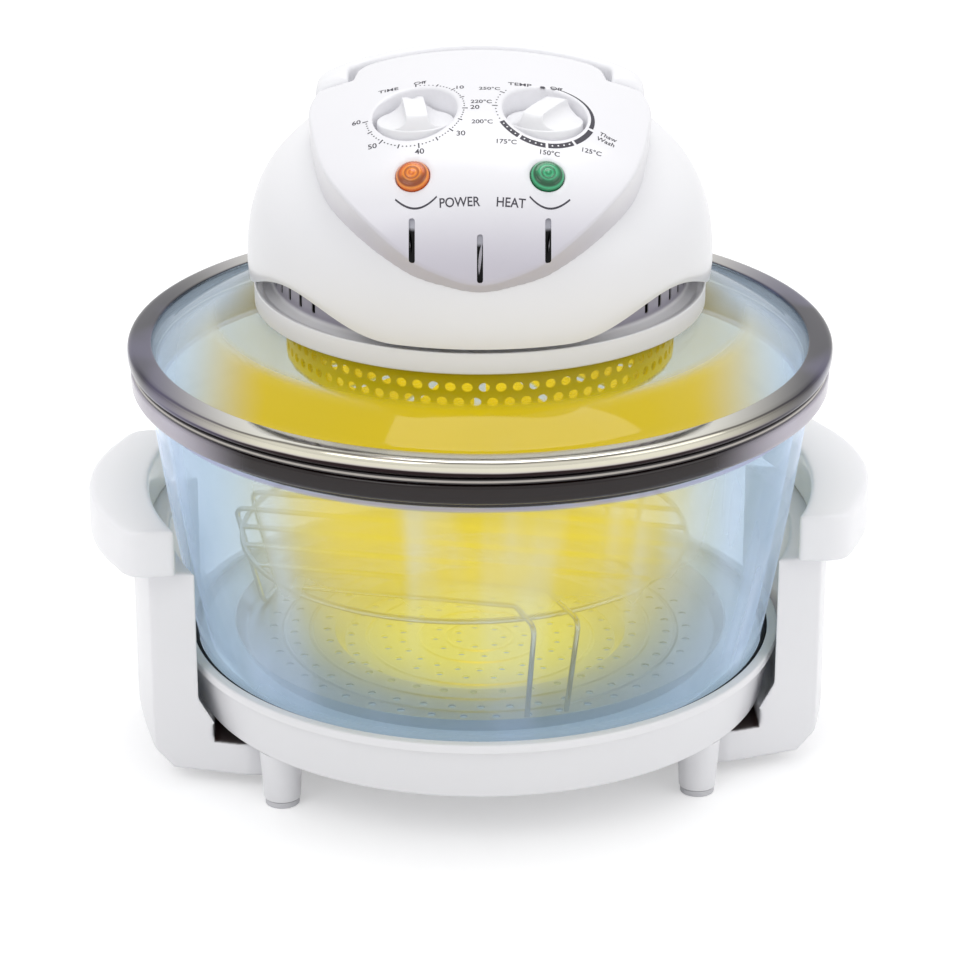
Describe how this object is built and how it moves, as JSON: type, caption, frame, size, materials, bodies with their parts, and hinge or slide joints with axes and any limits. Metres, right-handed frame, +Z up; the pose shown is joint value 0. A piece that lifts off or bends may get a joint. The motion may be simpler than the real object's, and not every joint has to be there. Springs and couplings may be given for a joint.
{
  "type": "halogen oven",
  "caption": "Countertop halogen oven: a tinted glass bowl in a white stand with side grips, under a glass lid whose round white head holds two dials, the heater, the fan and a folding handle.",
  "frame": {"origin": "on the surface that the feet stand on, below the middle of the bounding box, which is the bowl's axis", "axes": "+Z up, -Y towards the user in front of the control panel, +X to that user's right"},
  "size_m": [0.3936, 0.35, 0.3538],
  "materials": {
    "white_plastic": "glossy white moulding",
    "tinted_glass": "clear, faintly blue",
    "dark_rubber": "matte black",
    "pale_rubber": "matte pale grey",
    "bright_steel": "bright plated or polished steel",
    "grey_metal": "plain grey metal",
    "black_plastic": "matte black",
    "quartz_tube": "clear quartz that glows yellow",
    "ceramic": "unglazed off-white",
    "amber_lens": "glossy clear amber",
    "green_lens": "glossy clear green"
  },
  "bodies": {
    "stand": {"base_tray": "white_plastic", "seat_ring": "dark_rubber", "arm_left": "white_plastic", "arm_right": "white_plastic", "grip_left": "white_plastic", "grip_right": "white_plastic", "foot_1": "white_plastic", "foot_2": "white_plastic", "foot_3": "white_plastic", "foot_4": "white_plastic", "foot_pad_1": "pale_rubber", "foot_pad_2": "pale_rubber", "foot_pad_3": "pale_rubber", "foot_pad_4": "pale_rubber", "arm_screw_1": "bright_steel", "arm_screw_2": "bright_steel", "arm_screw_3": "bright_steel", "arm_screw_4": "bright_steel"},
    "bowl": {"glass_bowl": "tinted_glass"},
    "dish": {"perforated_tray": "bright_steel"},
    "rack": {"wire_rack": "bright_steel"},
    "lid": {"lid_glass": "tinted_glass", "lid_band": "bright_steel", "lid_gasket": "dark_rubber", "head_base": "white_plastic", "head_dome": "white_plastic", "control_panel": "white_plastic", "power_lens": "amber_lens", "heat_lens": "green_lens", "power_lamp": "grey_metal", "heat_lamp": "grey_metal", "timer_unit": "grey_metal", "thermostat_unit": "grey_metal", "safety_switch": "black_plastic", "heater_cage": "bright_steel", "heat_reflector": "bright_steel", "heater_guard": "bright_steel", "halogen_tube": "quartz_tube", "tube_holder_1": "ceramic", "tube_holder_2": "ceramic", "motor_bracket": "grey_metal", "motor": "grey_metal", "cord_gland": "dark_rubber"},
    "handle": {"handle": "white_plastic", "handle_pin_left": "grey_metal", "handle_pin_right": "grey_metal"},
    "timer_dial": {"timer_knob": "white_plastic", "timer_shaft": "grey_metal"},
    "thermostat_dial": {"thermostat_knob": "white_plastic", "thermostat_shaft": "grey_metal"},
    "fan": {"drive_shaft": "bright_steel", "convection_fan": "bright_steel", "cooling_fan": "black_plastic"},
    "plunger": {"switch_plunger": "black_plastic"}
  },
  "joints": [
    {"name": "bowl_lift", "type": "slide", "parent": "stand", "child": "bowl", "axis": [0, 0, 1], "range_m": [0, 0.12]},
    {"name": "dish_lift", "type": "slide", "parent": "bowl", "child": "dish", "axis": [0, 0, 1], "range_m": [0, 0.04]},
    {"name": "rack_lift", "type": "slide", "parent": "dish", "child": "rack", "axis": [0, 0, 1], "range_m": [0, 0.05]},
    {"name": "lid_lift", "type": "slide", "parent": "bowl", "child": "lid", "axis": [0, 0, 1], "range_m": [0, 0.15]},
    {"name": "handle_fold", "type": "hinge", "parent": "lid", "child": "handle", "pos_m": [0, 0.013, 0.3375], "axis": [1, 0, 0], "range_deg": [0, 90]},
    {"name": "switch_travel", "type": "slide", "parent": "lid", "child": "plunger", "axis": [0, 0, 1], "range_m": [0, 0.00301]},
    {"name": "timer_turn", "type": "hinge", "parent": "lid", "child": "timer_dial", "pos_m": [-0.0305, -0.0527, 0.34034], "axis": [0.0349, 0, -0.9994], "range_deg": [0, 270]},
    {"name": "thermostat_turn", "type": "hinge", "parent": "lid", "child": "thermostat_dial", "pos_m": [0.0305, -0.0527, 0.34034], "axis": [-0.0349, 0, -0.9994], "range_deg": [-24, 286]},
    {"name": "fan_spin", "type": "hinge", "parent": "lid", "child": "fan", "pos_m": [0, 0, 0.25], "axis": [0, 0, 1], "continuous": true}
  ],
  "couplings": [
    {"joint": "switch_travel", "follows": "handle_fold", "m_per_rad": 0.0019099}
  ]
}
